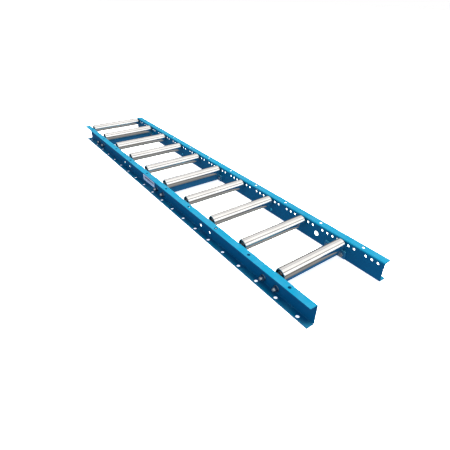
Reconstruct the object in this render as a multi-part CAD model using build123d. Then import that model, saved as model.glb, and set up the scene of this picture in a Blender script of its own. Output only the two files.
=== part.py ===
from build123d import *
import os
from math import cos, radians, sin

# Gravity roller conveyor: one straight five-foot section of light steel channel with
# free-turning tube rollers. Millimetres. X runs along the conveyor with the near end at
# +X, Y runs across it with the front rail at -Y, and Z is up. The origin is the middle
# of the conveyor on the surface that it stands on.

INCH = 25.4
GAUGE_12 = 2.66
GAUGE_18 = 1.24

# ---- Layout
roller_count = 10
roller_pitch = 6 * INCH
between_frame = 10 * INCH            # from web to web
holes_per_pitch = 8                  # axle holes punched in each roller pitch
first_roller_hole = 7                # axle hole of the first roller, counted from the near end
skipped_hole = 4                     # the axle hole left out of each pitch
cross_member_pitches = (1, 5, 9)     # distance from the near end, in roller pitches
open_hole_pair_pitches = (3, 7)      # bolt hole pairs with no cross-member on them

# ---- Rails: formed channel with the flanges pointing outwards
rail_height = 2.5 * INCH
rail_flange = 1 * INCH
rail_wall = GAUGE_12
rail_bend = 2.4                      # inside radius
axle_drop = 0.5 * INCH               # from the rail's top to the axles
top_hole_radius = 11 / 64 * INCH
top_hole_reach = 9 / 16 * INCH       # from the inner face of the web
foot_hole_radius = 13 / 64 * INCH
foot_hole_reach = 5 / 8 * INCH
access_hole_radius = 5 / 16 * INCH   # one large round hole, in the rear rail only
access_hole_height = 1.15 * INCH
access_hole_pitches = 1.5

# ---- Cross-members and their fasteners (3/8 inch bolts)
member_width = 1 * INCH
member_wall = GAUGE_12
member_bend = 2.4
end_plate_length = 3 * INCH
end_plate_wall = 1 / 8 * INCH
end_plate_corner = 3.0
member_floor_gap = 1 / 8 * INCH
member_roller_gap = 3 / 16 * INCH
bolt_spacing = 2 * INCH
bolt_radius = 3 / 16 * INCH
bolt_length = 0.75 * INCH
bolt_head_flats = 9 / 16 * INCH
bolt_head_height = 6.0
bolt_hole_clearance = 0.4
nut_flats = 9 / 16 * INCH
nut_height = 8.3
nut_flange_radius = 9.4
nut_flange_height = 1.6
thread_clearance = 0.05

# ---- Rollers: 1-3/8 inch tube on a 1/4 inch hexagonal axle
tube_radius = 11 / 16 * INCH
tube_wall = GAUGE_18
tube_end_gap = 3 / 8 * INCH          # from the tube's end to the web
swage_radius = 2.4                   # outer radius of the turned-in tube end
swage_lip = 1.0
axle_flats = 1 / 4 * INCH
axle_hole_clearance = 1 / 64 * INCH
axle_protrusion = 1 / 8 * INCH       # beyond the outer face of each web
axle_chamfer = 0.6
axle_travel = 8.0                    # how far a sprung axle pushes in
collar_radius = 5.9
collar_length = 1.6
collar_end_play = 0.1

# ---- Bearings: pressed cup, twelve balls and a cone with a hexagonal bore
ball_count = 12
ball_radius = 3 / 32 * INCH
ball_circle_radius = 10.3
ball_setback = 3.9                   # from the cup's front face to the ball centres
race_clearance = 0.15
race_shoulder = 1.0                  # from the ball circle to either race's shoulder
cup_length = 7.6
cup_lip_wall = 1.0
cup_lip_clearance = 0.6              # between the cup's lip and the cone
cone_race_half_length = 3.2
cone_hub_radius = 5.6
cone_hub_clearance = 0.8             # from the hub's end to the web
cone_bore_clearance = 0.08

# ---- Axle spring
spring_wire_radius = 0.45
spring_clearance = 0.8               # between the wire and the axle's corners
spring_turns = 9
spring_length = 36.0
spring_seat_gap = 0.05

# ---- Label on the front rail
label_length = 96.0
label_height = 24.0
label_thickness = 0.25
label_from_middle = -94.0
label_centre_height = 23.0

# ---- Sizes that follow from the ones above
conveyor_length = roller_count * roller_pitch
near_end = conveyor_length / 2
axle_height = rail_height - axle_drop
hole_spacing = roller_pitch / holes_per_pitch
web_inner = between_frame / 2
web_outer = web_inner + rail_wall
tube_end = web_inner - tube_end_gap
cup_front = tube_end - tube_wall
ball_plane = cup_front - ball_setback
cone_inner_face = ball_plane - cone_race_half_length
cone_race_radius = ball_circle_radius - race_shoulder
bolt_hole_radius = bolt_radius + bolt_hole_clearance
member_top = axle_height - tube_radius - member_roller_gap
member_height = member_top - member_floor_gap
bolt_row_height = (member_top + member_floor_gap) / 2
axle_hole_flats = axle_flats + 2 * axle_hole_clearance
axle_corner_radius = axle_flats / 2 / cos(radians(30))
spring_mean_radius = axle_corner_radius + spring_clearance + spring_wire_radius

ACROSS_FRONT = Rot(90, 0, 0)         # turns a part made along +Z to point along -Y
ACROSS_REAR = Rot(-90, 0, 0)         # turns a part made along +Z to point along +Y


def from_near_end(pitches):
    """X position of a point that many roller pitches from the near end."""
    return near_end - pitches * roller_pitch


def hexagon(flats):
    return RegularPolygon(radius=flats / 2, side_count=6, major_radius=False)


def axle_hole_positions():
    """Axle holes from one end of the rail to the other, with one in each pitch left out."""
    holes = range(1, roller_count * holes_per_pitch)
    return [near_end - hole * hole_spacing for hole in holes if hole % holes_per_pitch != skipped_hole]


def bolt_pair_positions(pitches_list):
    return [
        from_near_end(pitches) + side * bolt_spacing / 2
        for pitches in pitches_list
        for side in (1, -1)
    ]


def channel_section(flange, height, wall, bend):
    """Channel section with its web on the local Y axis and its flanges towards +X."""
    outer = Pos(flange / 2, height / 2) * Rectangle(flange, height)
    inner = Pos(flange / 2 + wall, height / 2) * Rectangle(flange, height - 2 * wall)
    outer = fillet(outer.vertices().group_by(Axis.X)[0], bend + wall)
    inner = fillet(inner.vertices().group_by(Axis.X)[0], bend)
    return outer - inner


def rear_rail():
    section = Pos(web_inner, 0) * channel_section(rail_flange, rail_height, rail_wall, rail_bend)
    rail = Pos(-near_end, 0, 0) * extrude(Plane.YZ * section, conveyor_length)

    web_cut = 3 * rail_wall
    web_face = Plane(origin=(0, web_inner - rail_wall, 0), x_dir=(-1, 0, 0), z_dir=(0, 1, 0))
    web_holes = [Pos(-x, axle_height) * hexagon(axle_hole_flats) for x in axle_hole_positions()]
    web_holes += [
        Pos(-x, bolt_row_height) * Circle(bolt_hole_radius)
        for x in bolt_pair_positions(cross_member_pitches + open_hole_pair_pitches)
    ]
    cuts = [extrude(web_face * hole, web_cut) for hole in web_holes]

    for pitch in range(roller_count):
        top = (from_near_end(pitch + 0.5), web_inner + top_hole_reach, rail_height)
        cuts.append(Pos(*top) * Cylinder(top_hole_radius, 3 * rail_wall))
        for quarter in (0.25, 0.75):
            foot = (from_near_end(pitch + quarter), web_inner + foot_hole_reach, 0)
            cuts.append(Pos(*foot) * Cylinder(foot_hole_radius, 3 * rail_wall))
    return rail - cuts


def access_hole():
    place = Pos(from_near_end(access_hole_pitches), web_inner, access_hole_height)
    return place * ACROSS_REAR * Cylinder(access_hole_radius, 3 * rail_wall)


def cross_member(pitches):
    """Inverted channel welded between two bolted end plates."""
    half_length = web_inner - end_plate_wall
    half_width = member_width / 2
    outer = Rectangle(member_width, member_height)
    inner = Pos(0, -member_wall) * Rectangle(member_width - 2 * member_wall, member_height)
    outer = fillet(outer.vertices().group_by(Axis.Y)[-1], member_bend + member_wall)
    inner = fillet(inner.vertices().group_by(Axis.Y)[-1], member_bend)
    beam = extrude(Plane.XZ * (outer - inner), half_length, both=True)

    plate = fillet(Rectangle(end_plate_length, member_height).vertices(), end_plate_corner)
    plate -= [Pos(side * bolt_spacing / 2, 0) * Circle(bolt_hole_radius) for side in (1, -1)]
    plate = extrude(Plane.XZ * plate, end_plate_wall)
    ends = [Pos(0, web_inner, 0) * plate, Pos(0, -half_length, 0) * plate]
    return Pos(from_near_end(pitches), 0, bolt_row_height) * (beam + ends)


def hex_bolt():
    """Bolt along +Z, with the underside of its head at the origin and its head below."""
    head = extrude(hexagon(bolt_head_flats), -bolt_head_height)
    corner = bolt_head_flats / 2 / cos(radians(30))
    crown = Cylinder(corner, bolt_head_height, align=(Align.CENTER, Align.CENTER, Align.MAX))
    crown = chamfer(crown.faces().sort_by(Axis.Z)[0].edges(), 0.5, 0.9)
    shank = Cylinder(bolt_radius, bolt_length, align=(Align.CENTER, Align.CENTER, Align.MIN))
    shank = chamfer(shank.faces().sort_by(Axis.Z)[-1].edges(), 0.8)
    return (head & crown) + shank


def flange_nut():
    """Flanged hexagonal nut along +Z, with its seat at the origin."""
    on_seat = (Align.CENTER, Align.CENTER, Align.MIN)
    corner = nut_flats / 2 / cos(radians(30))
    crown = Cylinder(corner, nut_height, align=on_seat)
    crown = chamfer(crown.faces().sort_by(Axis.Z)[-1].edges(), 0.5, 0.9)
    flange = Cylinder(nut_flange_radius, nut_flange_height, align=on_seat)
    flange = chamfer(flange.faces().sort_by(Axis.Z)[-1].edges(), 0.8)
    body = (extrude(hexagon(nut_flats), nut_height) & crown) + flange
    return body - Cylinder(bolt_radius + thread_clearance, nut_height, align=on_seat)


def roller_tube():
    """Tube along Y, with both ends swaged in over the bearing cups."""
    inner = tube_radius - tube_wall
    bend = (tube_radius - swage_radius, tube_end - swage_radius)
    lip = bend[0] - swage_lip
    outline = [
        Polyline((inner, 0), (tube_radius, 0), (tube_radius, bend[1])),
        CenterArc(bend, swage_radius, 0, 90),
        Polyline((bend[0], tube_end), (lip, tube_end), (lip, cup_front), (bend[0], cup_front)),
        CenterArc(bend, swage_radius - tube_wall, 90, -90),
        Line((inner, bend[1]), (inner, 0)),
    ]
    half = revolve(make_face(outline), Axis.Y)
    return half + mirror(half, Plane.XZ)


def ball_groove(y):
    return Pos(0, y, 0) * ACROSS_REAR * Torus(ball_circle_radius, ball_radius + race_clearance)


def bearing_cup():
    """Outer race of the rear bearing, pressed into the tube behind its swaged end."""
    outer = tube_radius - tube_wall
    corner = swage_radius - tube_wall
    shoulder = ball_circle_radius + race_shoulder
    lip = cone_race_radius + cup_lip_clearance
    back = cup_front - cup_length
    outline = [
        Line((lip, cup_front), (outer - corner, cup_front)),
        CenterArc((outer - corner, cup_front - corner), corner, 90, -90),
        Polyline(
            (outer, cup_front - corner),
            (outer, back),
            (shoulder, back),
            (shoulder, cup_front - cup_lip_wall),
            (lip, cup_front - cup_lip_wall),
            (lip, cup_front),
        ),
    ]
    return revolve(make_face(outline), Axis.Y) - ball_groove(ball_plane)


def bearing_cone():
    """Inner race of the rear bearing, with a hub that reaches towards the rail."""
    race_front = ball_plane + cone_race_half_length
    hub_end = web_inner - cone_hub_clearance
    profile = Polyline(
        (0, cone_inner_face),
        (cone_race_radius, cone_inner_face),
        (cone_race_radius, race_front),
        (cone_hub_radius, race_front),
        (cone_hub_radius, hub_end),
        (0, hub_end),
        close=True,
    )
    bore_flats = axle_flats + 2 * cone_bore_clearance
    bore = ACROSS_REAR * extrude(hexagon(bore_flats), web_inner)
    return revolve(make_face(profile), Axis.Y) - ball_groove(ball_plane) - bore


def both_ends(piece):
    """The rear piece and its mirror image at the front end of the roller."""
    return [piece, mirror(piece, Plane.XZ)]


def bearing_balls():
    ball = Sphere(ball_radius)
    step = 360 / ball_count
    places = [
        (ball_circle_radius * cos(radians(i * step)), ball_circle_radius * sin(radians(i * step)))
        for i in range(ball_count)
    ]
    return [Pos(x, end * ball_plane, z) * ball for end in (1, -1) for x, z in places]


def roller_axle():
    """Hexagonal axle: a stop collar behind the front bearing and a spring seat at the rear."""
    half_length = web_outer + axle_protrusion
    bar = ACROSS_REAR * extrude(hexagon(axle_flats), half_length, both=True)
    bar = chamfer(bar.faces().group_by(Axis.Y)[0].edges(), axle_chamfer)
    bar = chamfer(bar.faces().group_by(Axis.Y)[-1].edges(), axle_chamfer)
    collar = ACROSS_REAR * Cylinder(collar_radius, collar_length)
    stop = -cone_inner_face + collar_end_play + collar_length / 2
    seat = cone_inner_face - spring_length - collar_length / 2
    return bar + Pos(0, stop, 0) * collar + Pos(0, seat, 0) * collar


def axle_spring():
    """Compression spring between the axle's seat collar and the rear cone."""
    height = spring_length - 2 * spring_wire_radius - 2 * spring_seat_gap
    path = Helix(height / spring_turns, height, spring_mean_radius)
    wire = sweep(Plane(path @ 0, z_dir=path % 0) * Circle(spring_wire_radius), path)
    start = cone_inner_face - spring_length + spring_seat_gap + spring_wire_radius
    return Pos(0, start, 0) * ACROSS_REAR * wire


def rail_label():
    size = Box(label_length, label_thickness, label_height)
    return Pos(label_from_middle, -web_outer - label_thickness / 2, label_centre_height) * size


# ---- Frame
plain_rail = rear_rail()
nodes = {
    "front_rail": [mirror(plain_rail, Plane.XZ)],
    "rear_rail": [plain_rail - access_hole()],
    "rail_label": [rail_label()],
}
for name, pitches in zip(("near", "middle", "far"), cross_member_pitches):
    nodes[f"{name}_cross_member"] = [cross_member(pitches)]

# The bolts point outwards: heads inside on the end plates, nuts outside on the webs.
bolt = hex_bolt()
nut = flange_nut()
head_seat = web_inner - end_plate_wall
nodes["cross_member_bolts"] = []
nodes["cross_member_nuts"] = []
for x in bolt_pair_positions(cross_member_pitches):
    for side, outwards in ((1, ACROSS_REAR), (-1, ACROSS_FRONT)):
        nodes["cross_member_bolts"].append(Pos(x, side * head_seat, bolt_row_height) * outwards * bolt)
        nodes["cross_member_nuts"].append(Pos(x, side * web_outer, bolt_row_height) * outwards * nut)

# ---- Rollers
roller_parts = {
    "tube": [roller_tube()],
    "bearing_cups": both_ends(bearing_cup()),
    "bearing_balls": bearing_balls(),
    "axle": [roller_axle()],
    "axle_spring": [axle_spring()],
}
cones = both_ends(bearing_cone())
nodes["bearing_cones"] = []
for roller in range(roller_count):
    x = near_end - (first_roller_hole + roller * holes_per_pitch) * hole_spacing
    centre = Pos(x, 0, axle_height)
    nodes["bearing_cones"] += [centre * cone for cone in cones]
    for part, solids in roller_parts.items():
        nodes[f"roller_{roller + 1:02d}_{part}"] = [centre * solid for solid in solids]

# ---- One file for each node
os.makedirs("parts", exist_ok=True)
for name, solids in nodes.items():
    shape = solids[0] if len(solids) == 1 else Compound(solids)
    export_step(shape, f"parts/{name}.step")
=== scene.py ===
# %% [markdown]
# # A gravity roller conveyor
# Boxes roll over this section by their own weight: ten free-turning tubes sit between two formed channels.
# The mechanical model comes first, as a fixed frame that gives every place and every motion. Here each part
# gets the surface that the maker's processes leave on it: punched and bent sheet, swaged tube, turned bearings,
# headed bolts, coiled wire and powder coat.

import bmesh
import bpy
import numpy as np
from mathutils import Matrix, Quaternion, Vector


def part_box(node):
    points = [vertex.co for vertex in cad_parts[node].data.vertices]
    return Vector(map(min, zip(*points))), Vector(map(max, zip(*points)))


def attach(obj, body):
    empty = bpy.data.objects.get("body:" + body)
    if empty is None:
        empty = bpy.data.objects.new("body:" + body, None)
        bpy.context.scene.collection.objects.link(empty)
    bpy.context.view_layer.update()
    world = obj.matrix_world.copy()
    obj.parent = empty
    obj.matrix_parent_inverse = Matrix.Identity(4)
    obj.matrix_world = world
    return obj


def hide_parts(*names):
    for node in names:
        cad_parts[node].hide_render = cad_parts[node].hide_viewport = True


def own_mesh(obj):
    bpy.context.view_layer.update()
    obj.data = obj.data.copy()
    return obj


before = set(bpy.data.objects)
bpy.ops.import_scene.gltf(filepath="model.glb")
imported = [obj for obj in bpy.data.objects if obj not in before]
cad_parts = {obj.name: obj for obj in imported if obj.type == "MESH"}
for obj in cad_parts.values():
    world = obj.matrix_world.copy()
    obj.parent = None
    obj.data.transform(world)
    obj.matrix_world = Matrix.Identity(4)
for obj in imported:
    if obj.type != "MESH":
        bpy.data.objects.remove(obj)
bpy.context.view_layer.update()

# %% [markdown]
# The camera stands off the front corner of the near end and looks down the conveyor with a fairly wide lens,
# so the rails draw together towards the far end. It could be typed in as a place and three angles, but a point
# to look at, two angles and a distance say the same thing in words that can be checked against the object.

# %% Camera
LOOK_AT = Vector((0.3655, -0.0964, 0.0508))      # on the axle line, near the front rail
EYE_AZIMUTH, EYE_ELEVATION, EYE_ROLL = np.radians([53.306, 32.765, 1.465])
EYE_DISTANCE = 1.085
LENS, SENSOR_WIDTH = 28.625, 36                  # millimetres


def in_scene(name, data):
    """A new object with that name and data, in the scene."""
    thing = bpy.data.objects.new(name, data)
    bpy.context.collection.objects.link(thing)
    return thing


towards_eye = Vector((
    np.sin(EYE_AZIMUTH) * np.cos(EYE_ELEVATION),
    -np.cos(EYE_AZIMUTH) * np.cos(EYE_ELEVATION),
    np.sin(EYE_ELEVATION),
))
camera = in_scene("camera", bpy.data.cameras.new("camera"))
camera.data.lens = LENS
camera.data.sensor_width = SENSOR_WIDTH
camera.location = LOOK_AT + EYE_DISTANCE * towards_eye
camera.rotation_mode = "QUATERNION"
camera.rotation_quaternion = towards_eye.to_track_quat("Z", "Y") @ Quaternion((0, 0, 1), EYE_ROLL)
bpy.context.scene.camera = camera
bpy.context.scene.view_settings.view_transform = "Standard"
print("the eye is at", [round(value, 3) for value in camera.location])

# %% [markdown]
# Every material and the studio itself are small networks of nodes. A few helpers keep them readable: one adds a
# node, one does a sum on numbers or other nodes' outputs, and one turns a number into a colour by a ramp.

# %% Helpers for node networks
def add_node(tree, kind, **settings):
    """A new node of that kind, with its settings."""
    node = tree.nodes.new(kind)
    for name, value in settings.items():
        setattr(node, name, value)
    return node


def feed(tree, socket, value):
    """Link an output to this input, or set the input where value is a plain number or colour."""
    if isinstance(value, bpy.types.NodeSocket):
        tree.links.new(value, socket)
    else:
        socket.default_value = value


def sum_of(tree, operation, first, second=0.0, third=0.0, clamp=False):
    """The output of a Math node: operation on first, second and third."""
    node = add_node(tree, "ShaderNodeMath", operation=operation, use_clamp=clamp)
    for socket, value in zip(node.inputs, (first, second, third)):
        feed(tree, socket, value)
    return node.outputs["Value"]


def ramp(tree, value, stops):
    """Turn a value into a colour. stops holds (position, colour) pairs."""
    node = add_node(tree, "ShaderNodeValToRGB")
    elements = node.color_ramp.elements
    while len(elements) < len(stops):
        elements.new(1.0)
    for element, (position, colour) in zip(elements, stops):
        element.position = position
        element.color = (*colour, 1.0)
    feed(tree, node.inputs["Fac"], value)
    return node.outputs["Color"]


def grey(value):
    """The colour with that much of red, green and blue."""
    return (value, value, value)

# %% [markdown]
# A workshop product is usually lit by big soft lamps overhead, with little light from the sides. Here that is a
# sun lamp with a wide, slightly warm disc, and a bluish world that fills the shade. The polished tubes need
# something to mirror, so reflected rays see a studio instead: three bright panels with grey gaps between them,
# dark walls below and beyond them, and a dim floor. A picture of a real studio would do this too, but the bands
# only depend on the angle around the tubes' direction, so a ramp on that angle is enough.

# %% Studio light
SKY_LIGHT, SKY_TINT = 1.10, (0.43, 0.60, 1.0)
LAMP_STRENGTH, LAMP_TINT = 10.3, (1.0, 1.0, 0.84)
LAMP_DISC = np.radians(50)
LAMP_TILT = np.radians((-12, -4, 0))

lamp = in_scene("overhead_lamp", bpy.data.lights.new("overhead_lamp", "SUN"))
lamp.data.energy = LAMP_STRENGTH
lamp.data.angle = LAMP_DISC
lamp.data.color = LAMP_TINT
lamp.rotation_euler = LAMP_TILT
lamp.visible_glossy = False

# Shares of a full turn around the tubes' direction: 0 is straight down, 0.25 the near end's horizon, 0.5 is
# straight up and 0.75 the far end's horizon. Each stop has a tone, and one above 1 is a lamp.
CEILING = [
    (0.00, (0.20, 0.21, 0.21)), (0.04, (0.22, 0.22, 0.22)), (0.10, (0.34, 0.34, 0.34)),
    (0.14, (0.33, 0.33, 0.32)), (0.175, (0.26, 0.25, 0.24)), (0.215, (0.14, 0.13, 0.12)),
    (0.238, (0.16, 0.15, 0.14)), (0.258, grey(1.35)), (0.352, grey(1.40)), (0.372, (0.37, 0.35, 0.33)),
    (0.400, (0.35, 0.33, 0.31)), (0.418, (1.30, 1.27, 1.22)), (0.47, (1.20, 1.17, 1.13)),
    (0.54, (1.10, 1.07, 1.05)), (0.556, (0.62, 0.60, 0.59)), (0.568, (0.62, 0.60, 0.59)),
    (0.585, (1.0, 0.97, 0.95)), (0.64, (0.80, 0.78, 0.77)), (0.68, (0.72, 0.70, 0.69)),
    (0.70, (0.20, 0.18, 0.17)), (0.80, (0.15, 0.14, 0.13)), (0.84, (0.16, 0.17, 0.18)), (1.00, (0.20, 0.21, 0.21)),
]

world = bpy.data.worlds.new("studio")
bpy.context.scene.world = world
world.use_nodes = True
sky = world.node_tree
sky.nodes.clear()
direction = add_node(sky, "ShaderNodeSeparateXYZ")
feed(sky, direction.inputs[0], add_node(sky, "ShaderNodeTexCoord").outputs["Generated"])
turn = sum_of(sky, "ARCTAN2", direction.outputs["X"], sum_of(sky, "MULTIPLY", direction.outputs["Z"], -1.0))
around = sum_of(sky, "MULTIPLY_ADD", turn, 0.5 / np.pi, 1.0)
around = sum_of(sky, "FRACT", around)
ceiling = ramp(sky, around, CEILING)
path = add_node(sky, "ShaderNodeLightPath")


def background(colour, strength=1.0):
    """A Background shader of that colour, which may be another node's output."""
    node = add_node(sky, "ShaderNodeBackground")
    feed(sky, node.inputs["Color"], (*colour, 1.0) if isinstance(colour, tuple) else colour)
    node.inputs["Strength"].default_value = strength
    return node.outputs[0]


def only_for(ray, shader, others):
    """One shader for that kind of ray, and another for all the others."""
    node = add_node(sky, "ShaderNodeMixShader")
    for socket, value in zip(node.inputs, (path.outputs[ray], others, shader)):
        feed(sky, socket, value)
    return node.outputs[0]


indirect = only_for("Is Glossy Ray", background(ceiling), background(SKY_TINT, SKY_LIGHT))
everything = only_for("Is Camera Ray", background(grey(1.0)), indirect)
feed(sky, add_node(sky, "ShaderNodeOutputWorld").inputs["Surface"], everything)
print("studio with", len(CEILING), "stops around the tubes")

# %% [markdown]
# The floor is a plain pale sheet, wide enough to fill the view. It sits half a millimetre under the feet of
# the rails. Light that bounces off it would fill the shaded webs, and polished metal would mirror it, so only
# the camera and the shadows use it. It glows a little, which keeps the shadows faint.

# %% Floor
FLOOR_HALF = 30.0
FLOOR_DROP = 0.0005
FLOOR_GLOW = 0.8

corners = FLOOR_HALF * np.array([(-1, -1), (1, -1), (1, 1), (-1, 1)])
floor_mesh = bpy.data.meshes.new("floor")
floor_mesh.from_pydata([(x, y, -FLOOR_DROP) for x, y in corners], [], [(0, 1, 2, 3)])
floor = in_scene("floor", floor_mesh)
floor.visible_glossy = False
floor.visible_diffuse = False

floor_paper = bpy.data.materials.new("floor_paper")
floor_paper.use_nodes = True
paper = floor_paper.node_tree
paper_shader = paper.nodes["Principled BSDF"]
mottle = add_node(paper, "ShaderNodeTexNoise")
mottle.inputs["Scale"].default_value = 3.0
mottled = ramp(paper, mottle.outputs[0], [(0.3, grey(0.90)), (0.7, grey(0.93))])
feed(paper, paper_shader.inputs["Base Color"], mottled)
paper_shader.inputs["Roughness"].default_value = 0.9
paper_shader.inputs["Emission Color"].default_value = (1, 1, 1, 1)
paper_shader.inputs["Emission Strength"].default_value = FLOOR_GLOW
floor_mesh.materials.append(floor_paper)
print("floor", 2 * FLOOR_HALF, "m square")

# %% [markdown]
# Every part of the object is a surface worked out with numpy: a grid of points, and four-sided faces between
# neighbours on the grid. Points carry a fourth number, edge, which is 1 on a chamfer or a worn edge and 0 away
# from it, so that paint and plating can be thin just there. Building from grids rather than adding and
# subtracting primitives keeps every curve smooth and every seam shared.

# %% Grids of points
EDGE = 0.0003        # chamfer that punching, tumbling or paint leaves on an edge


def grid_quads(rows, columns, close_rows=False, close_columns=True):
    """Faces between neighbours on a grid stored row by row. A closed direction joins its last to its first."""
    row, column = np.meshgrid(
        np.arange(rows - (not close_rows)), np.arange(columns - (not close_columns)), indexing="ij"
    )
    next_row, next_column = (row + 1) % rows, (column + 1) % columns
    quads = [row * columns + column, next_row * columns + column]
    quads += [next_row * columns + next_column, row * columns + next_column]
    return np.stack(quads, -1).reshape(-1, 4)


def joined(shells):
    """One (points, quads) from several: each shell's quads count on from the points before it."""
    starts = np.cumsum([0] + [len(points) for points, _ in shells[:-1]])
    quads = [quads + start for (_, quads), start in zip(shells, starts)]
    return np.concatenate([points for points, _ in shells]), np.concatenate(quads)


def placed(shell, x, y, z):
    """The shell with new coordinates, each an array worked out from its points. Its edge values are kept."""
    points, quads = shell
    return np.stack([x, y, z, points[:, 3]], -1), quads

# %% [markdown]
# A grid that closes on itself repeats points at its seams and poles, so each new mesh is welded, and its faces
# are turned to point outwards. Creases sharper than a set angle stay crisp, and everything else shades smoothly.
# The new piece then takes over from the CAD part: it rides on the same body, and its box is compared with the
# part's, because a finer surface must not change a size.

# %% From points to a finished piece
WELD = 1e-6
CREASE = np.radians(32)


def new_piece(name, shell):
    """A mesh object from (points, quads), welded, with normals outwards and the edge value on its points."""
    points, quads = shell
    mesh = bpy.data.meshes.new(name)
    mesh.from_pydata(points[:, :3].tolist(), [], quads.tolist())
    mesh.attributes.new("edge", "FLOAT", "POINT").data.foreach_set("value", points[:, 3].astype(np.float32))
    solid = bmesh.new()
    solid.from_mesh(mesh)
    bmesh.ops.remove_doubles(solid, verts=solid.verts, dist=WELD)
    bmesh.ops.delete(solid, geom=[v for v in solid.verts if not v.link_faces], context="VERTS")
    bmesh.ops.recalc_face_normals(solid, faces=solid.faces)
    solid.to_mesh(mesh)
    solid.free()
    mesh.shade_smooth()
    mesh.set_sharp_from_angle(angle=CREASE)
    return in_scene(name, mesh)


def stand_for(piece, body, finish, slot, *nodes):
    """Give the piece its finish and let it stand for those CAD parts, riding on their body."""
    piece.data.materials.append(finish)
    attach(piece, body)
    if not nodes:
        return
    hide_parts(*nodes)
    points = np.array([v.co for v in piece.data.vertices])
    boxes = np.array([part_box(node) for node in nodes])
    gap = max(abs(points.min(0) - boxes[:, 0].min(0)).max(), abs(points.max(0) - boxes[:, 1].max(0)).max())
    triangles = sum(len(face.vertices) - 2 for face in piece.data.polygons)
    print(f"{piece.name}: {triangles} triangles, box within {gap * 1000:.2f} mm of the CAD part")

# %% [markdown]
# Sizes that the boxes of the CAD parts give directly are read from them. The sheet thickness and the bend radii
# aren't visible in a box, so they are stated here: 12 gauge for the rails and 18 gauge for the tubes.

# %% Sizes
INCH = 0.0254
SHEET_WALL = 0.00266
SHEET_BEND = 0.0024          # inside radius
PITCH = 6 * INCH
PUNCH_STEP = PITCH / 8       # the punch's grid of axle holes
HEX_BORE = (1 / 4 + 1 / 32) * INCH
TUBE_WALL = 0.00124

rail_low, rail_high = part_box("rear_rail")
rail_length = rail_high.x - rail_low.x
rail_flange = rail_high.y - rail_low.y
rail_height = rail_high.z
web_inner = rail_low.y                      # from the middle to the roller side of a web
near_end = rail_high.x
outer_bend = SHEET_WALL + SHEET_BEND
bend_arc = outer_bend * np.pi / 2
rollers = [f"{number:02d}" for number in range(1, 11)]
tube_boxes = [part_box(f"roller_{roller}_tube") for roller in rollers]
roller_x = [(low.x + high.x) / 2 for low, high in tube_boxes]
axle_height = (tube_boxes[0][0].z + tube_boxes[0][1].z) / 2
tube_radius = (tube_boxes[0][1].z - tube_boxes[0][0].z) / 2
tube_end = tube_boxes[0][1].y
print(f"rails {rail_length:.3f} m long and {rail_height:.4f} m high, axles at {axle_height:.4f} m")

# %% [markdown]
# A rail starts as a flat strip of steel. A press punches its holes, and a brake bends the two flanges. The
# surface is made in the same order. The flat strip is a lattice of points. Each hole owns a block of the
# lattice, where rings of points replace the squares: they run from the block's outline to the rim on one face,
# through the wall, and back out on the other. A boolean cut would need no lattice, but it leaves long slivers
# that shade badly next to a bend.

# %% The punched strip
RIM_BAND = 0.0012            # how far from a rim its wear fades out


def border(grid):
    """The outline of a grid of points as a closed loop: along its first side, across, back and down again."""
    return np.concatenate([grid[:-1, 0], grid[-1, :-1], grid[:0:-1, -1], grid[0, :0:-1]])


def ring(flat, depth, edge):
    """Points (u, v) of one ring, at that depth in the sheet and with that edge value."""
    return np.column_stack([flat, np.full(len(flat), depth), np.full(len(flat), edge)])


def punched_sheet(u_lines, v_lines, wall, holes, chamfer=EDGE):
    """A flat sheet over a lattice of u_lines by v_lines, from depth 0 to wall.

    holes holds (first u line, last u line, first v line, last v line, centre u, centre v, rim), where rim gives
    the hole's radius for an array of angles. A rim point is centre + (rim(a) + offset) * (cos a, sin a), with
    as many angles as the block's outline has points, so that every ring joins the next one for one."""
    flat = np.stack(np.meshgrid(u_lines, v_lines, indexing="ij"), -1)
    inset = np.clip(flat, flat[0, 0] + chamfer, flat[-1, -1] - chamfer)
    whole = np.ones((len(u_lines) - 1, len(v_lines) - 1), bool)
    shells = []
    for u0, u1, v0, v1, centre_u, centre_v, rim in holes:
        whole[u0:u1, v0:v1] = False
        outline = border(inset[u0:u1 + 1, v0:v1 + 1])
        count = len(outline)
        angle = -np.pi / 2 - np.pi * (u1 - u0) / count + 2 * np.pi * np.arange(count) / count
        out = np.stack([np.cos(angle), np.sin(angle)], -1)
        at_rim, worn, clean = ((centre_u, centre_v) + (rim(angle) + offset)[:, None] * out
                               for offset in (0.0, chamfer, chamfer + RIM_BAND))
        rings = [ring(outline, 0, 0), ring(clean, 0, 0), ring(worn, 0, 1), ring(at_rim, chamfer, 1)]
        rings += [ring(at_rim, wall - chamfer, 1), ring(worn, wall, 1)]
        rings += [ring(clean, wall, 0), ring(outline, wall, 0)]
        shells.append((np.concatenate(rings), grid_quads(len(rings), count)))
    squares = grid_quads(len(u_lines), len(v_lines), close_columns=False)[whole.ravel()]
    face = inset.reshape(-1, 2)
    shells += [(ring(face, 0, 0), squares), (ring(face, wall, 0), squares)]
    rim_out, rim_in = border(flat), border(inset)
    rings = [ring(rim_in, 0, 1), ring(rim_out, chamfer, 1)]
    rings += [ring(rim_out, wall - chamfer, 1), ring(rim_in, wall, 1)]
    shells.append((np.concatenate(rings), grid_quads(len(rings), len(rim_out))))
    return joined(shells)


def lines(stops, steps):
    """Lattice lines: each stretch between two stops is divided into that many equal steps."""
    parts = [np.linspace(a, b, steps, endpoint=False) for a, b in zip(stops[:-1], stops[1:])]
    return np.append(np.concatenate(parts), stops[-1])


def round_rim(radius):
    """The same radius at every angle."""
    return lambda angle: np.full(len(angle), radius)


def hexagon_rim(flats):
    """Half the flats over the cosine of the angle from the nearest flat's middle. Flats face up and down."""
    return lambda angle: flats / 2 / np.cos(angle % (np.pi / 3) - np.pi / 6)

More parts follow.
